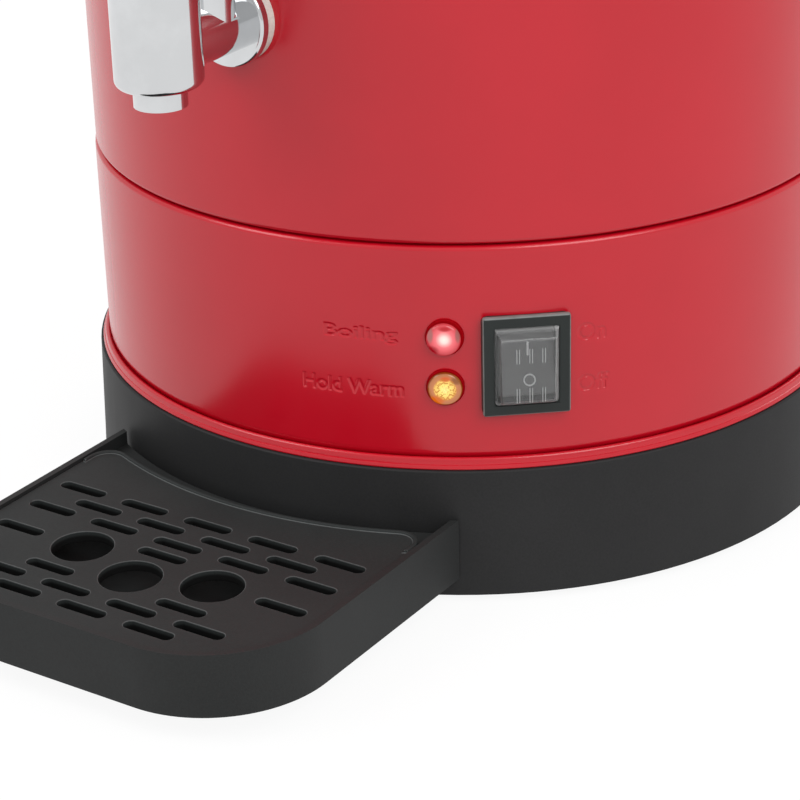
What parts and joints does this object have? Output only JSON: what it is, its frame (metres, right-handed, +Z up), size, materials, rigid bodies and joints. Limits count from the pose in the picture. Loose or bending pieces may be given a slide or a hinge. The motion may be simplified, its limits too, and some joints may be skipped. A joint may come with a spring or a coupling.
{
  "type": "coffee urn",
  "caption": "Round percolator coffee urn on a black base, with a red control band, rocker switch, lamps, lever tap, sight gauge, lift-off lid and removable drip tray.",
  "frame": {"origin": "on the surface that the urn stands on, at the foot of the axis of the round body", "axes": "+Z up along the axis of the body, -Y to the front with the tap, gauge and drip tray, +X to the right for someone who faces the tap"},
  "size_m": [0.32, 0.3459, 0.4973],
  "materials": {
    "red_paint": "satin red baked paint on pressed steel",
    "black_plastic": "fine matt moulded black plastic",
    "switch_plastic": "satin dark grey switch housing",
    "rocker_plastic": "satin black rocker",
    "clear_cover": "clear flexible splash cover",
    "lamp_red": "clear red lens, lit",
    "lamp_amber": "clear amber lens, lit",
    "bulb_glass": "small glass glow bulb",
    "steel_sheet": "brushed stainless steel",
    "bright_steel": "zinc-plated or stainless fastener",
    "chrome": "polished chrome plate",
    "aluminium": "drawn aluminium",
    "heater_steel": "heat-darkened tubular heater",
    "brass": "plain brass",
    "rubber": "black rubber",
    "silicone": "pale silicone",
    "gauge_glass": "clear borosilicate tube",
    "light_plastic": "ivory nylon or phenolic",
    "wire_sleeve": "glass-fibre and silicone wire sleeve"
  },
  "bodies": {
    "base": {"base_feet": "rubber", "base_housing": "black_plastic", "base_plate": "black_plastic", "base_screws": "bright_steel", "control_band": "red_paint", "gauge_cap": "black_plastic", "gauge_glass": "gauge_glass", "gauge_guard": "steel_sheet", "gauge_screws": "bright_steel", "gauge_seals": "rubber", "handle_left": "black_plastic", "handle_right": "black_plastic", "handle_screws": "bright_steel", "heat_shield": "steel_sheet", "heating_lamp": "lamp_red", "heating_plate": "aluminium", "inlet_pins": "brass", "inlet_screws": "bright_steel", "inner_tank": "steel_sheet", "joint_ring": "red_paint", "keep_warm_lamp": "lamp_amber", "lamp_bulbs": "bulb_glass", "lamp_holders": "black_plastic", "main_element": "heater_steel", "outer_shell": "red_paint", "power_inlet": "black_plastic", "switch_body": "switch_plastic", "switch_cover": "clear_cover", "switch_terminals": "brass", "tap_body": "chrome", "tap_bonnet": "black_plastic", "tap_nut": "brass", "tap_spacer": "black_plastic", "tap_spring": "bright_steel", "tap_washer_inner": "silicone", "tap_washer_outer": "silicone", "terminal_block": "light_plastic", "thermal_cutout": "light_plastic", "thermostats": "light_plastic", "tie_nuts": "bright_steel", "tie_rods": "bright_steel", "top_rim": "steel_sheet", "warm_element": "heater_steel", "wiring": "wire_sleeve"},
    "rocker": {"switch_rocker": "rocker_plastic"},
    "tap_stem_group": {"tap_stem": "bright_steel", "tap_seat_cup": "silicone", "lever_pin": "bright_steel"},
    "tap_lever_group": {"tap_lever": "black_plastic"},
    "lid_group": {"lid": "steel_sheet", "lid_knob": "black_plastic", "knob_screw": "bright_steel"},
    "percolator": {"percolator_foot": "aluminium", "percolator_tube": "aluminium"},
    "basket": {"coffee_basket": "aluminium"},
    "spreader": {"basket_spreader": "aluminium"},
    "valve": {"pump_valve": "steel_sheet"},
    "tray": {"drip_tray": "black_plastic", "tray_pads": "rubber"},
    "grille": {"drip_grille": "black_plastic"}
  },
  "joints": [
    {"name": "rocker_tilt", "type": "hinge", "parent": "base", "child": "rocker", "pos_m": [0.07555, -0.09116, 0.0762], "axis": [0.77, 0.6381, 0], "range_deg": [0, 20]},
    {"name": "tap_stem_lift", "type": "slide", "parent": "base", "child": "tap_stem_group", "axis": [0, 0, 1], "range_m": [0, 0.003], "stiffness_N_per_m": 800, "springref_m": -0.004, "deforming": ["tap_spring"]},
    {"name": "tap_lever_tilt", "type": "hinge", "parent": "tap_stem_group", "child": "tap_lever_group", "pos_m": [0, -0.158, 0.211], "axis": [1, 0, 0], "range_deg": [0, 45]},
    {"name": "lid_lift", "type": "slide", "parent": "base", "child": "lid_group", "axis": [0, 0, 1], "range_m": [0, 0.15]},
    {"name": "percolator_lift", "type": "slide", "parent": "base", "child": "percolator", "axis": [0, 0, 1], "range_m": [0, 0.03]},
    {"name": "basket_lift", "type": "slide", "parent": "percolator", "child": "basket", "axis": [0, 0, 1], "range_m": [0, 0.025]},
    {"name": "spreader_lift", "type": "slide", "parent": "basket", "child": "spreader", "axis": [0, 0, 1], "range_m": [0, 0.015]},
    {"name": "valve_hop", "type": "slide", "parent": "base", "child": "valve", "axis": [0, 0, 1], "range_m": [0, 0.003]},
    {"name": "tray_slide", "type": "slide", "parent": "base", "child": "tray", "axis": [0, -1, 0], "range_m": [0, 0.08]},
    {"name": "grille_lift", "type": "slide", "parent": "tray", "child": "grille", "axis": [0, 0, 1], "range_m": [0, 0.05]}
  ],
  "couplings": [
    {"joint": "tap_lever_tilt", "follows": "tap_stem_lift", "rad_per_m": 261.8}
  ]
}
